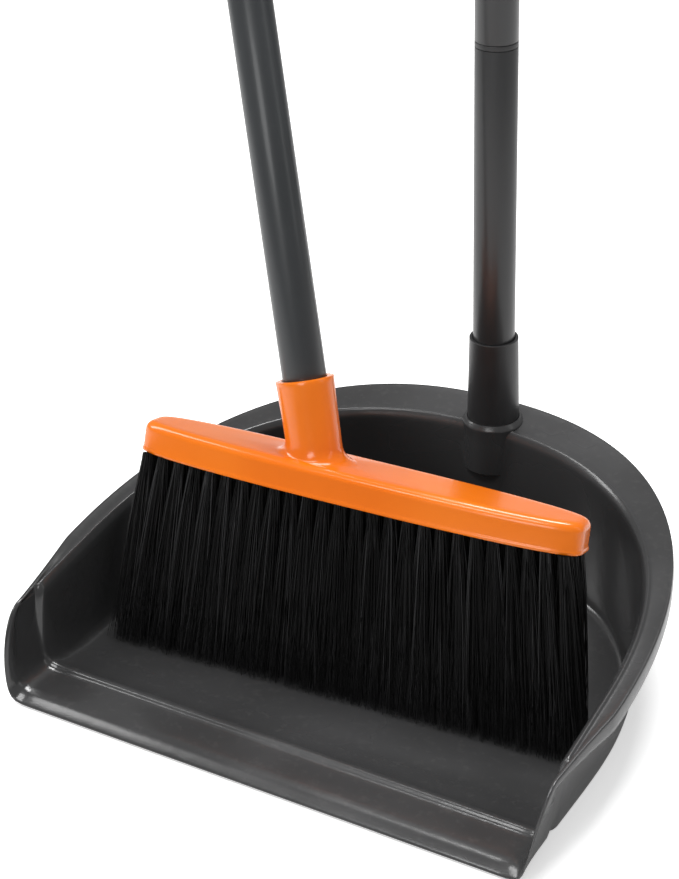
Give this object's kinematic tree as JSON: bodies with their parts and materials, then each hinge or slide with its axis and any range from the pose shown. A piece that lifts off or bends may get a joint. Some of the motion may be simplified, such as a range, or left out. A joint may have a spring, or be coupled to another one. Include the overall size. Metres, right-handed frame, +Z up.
{
  "type": "dust pan and brush set",
  "caption": "Long-handled broom with an angled head standing in a lipped dust pan with an upright handle; hanging loops and a handle clip.",
  "frame": {"origin": "centre of the dust pan's flat underside, on the floor", "axes": "+Z up, +Y from the pan's lip to its handle, +X to the right seen from the lip"},
  "size_m": [0.5954, 0.4509, 1.2945],
  "materials": {
    "pan_plastic": "semi-gloss moulded",
    "dark_plastic": "satin moulded",
    "grip_foam": "matte foam",
    "pan_tube_coat": "glossy film on thin steel",
    "broom_tube_coat": "glossy film on thin steel",
    "orange_plastic": "gloss moulded",
    "bristle": "black synthetic fibre"
  },
  "bodies": {
    "dustpan": {"pan_body": "pan_plastic", "pan_sleeve": "dark_plastic", "pan_foot_plug": "dark_plastic", "pan_grip": "grip_foam", "pan_hang_cap": "orange_plastic", "pan_tube_1": "pan_tube_coat", "pan_tube_2": "pan_tube_coat", "pan_tube_3": "pan_tube_coat", "pan_tube_4": "pan_tube_coat", "pan_screw_1": "dark_plastic", "pan_nut_1": "dark_plastic", "pan_screw_2": "dark_plastic", "pan_nut_2": "dark_plastic", "pan_screw_3": "dark_plastic", "pan_nut_3": "dark_plastic"},
    "clip": {"pan_clip": "orange_plastic"},
    "broom": {"broom_head": "orange_plastic", "broom_base_plate": "dark_plastic", "broom_screw_tip": "dark_plastic", "broom_grip": "grip_foam", "broom_hang_cap": "orange_plastic", "broom_tube_1": "broom_tube_coat", "broom_tuft_row_1": "bristle", "broom_tube_2": "broom_tube_coat", "broom_tuft_row_2": "bristle", "broom_tube_3": "broom_tube_coat", "broom_tuft_row_3": "bristle", "broom_tube_4": "broom_tube_coat", "broom_tuft_row_4": "bristle", "broom_tube_5": "broom_tube_coat", "broom_tuft_row_5": "bristle", "broom_screw_1": "dark_plastic", "broom_nut_1": "dark_plastic", "broom_screw_2": "dark_plastic", "broom_nut_2": "dark_plastic", "broom_screw_3": "dark_plastic", "broom_nut_3": "dark_plastic", "broom_screw_4": "dark_plastic", "broom_nut_4": "dark_plastic"}
  },
  "joints": [
    {"name": "clip_slide", "type": "slide", "parent": "dustpan", "child": "clip", "axis": [-0.0419, 0.0192, 0.9989], "range_m": [-0.6, 0.036]},
    {"name": "broom_lift", "type": "slide", "parent": "dustpan", "child": "broom", "axis": [0, 0, 1], "range_m": [0, 0.3]}
  ]
}
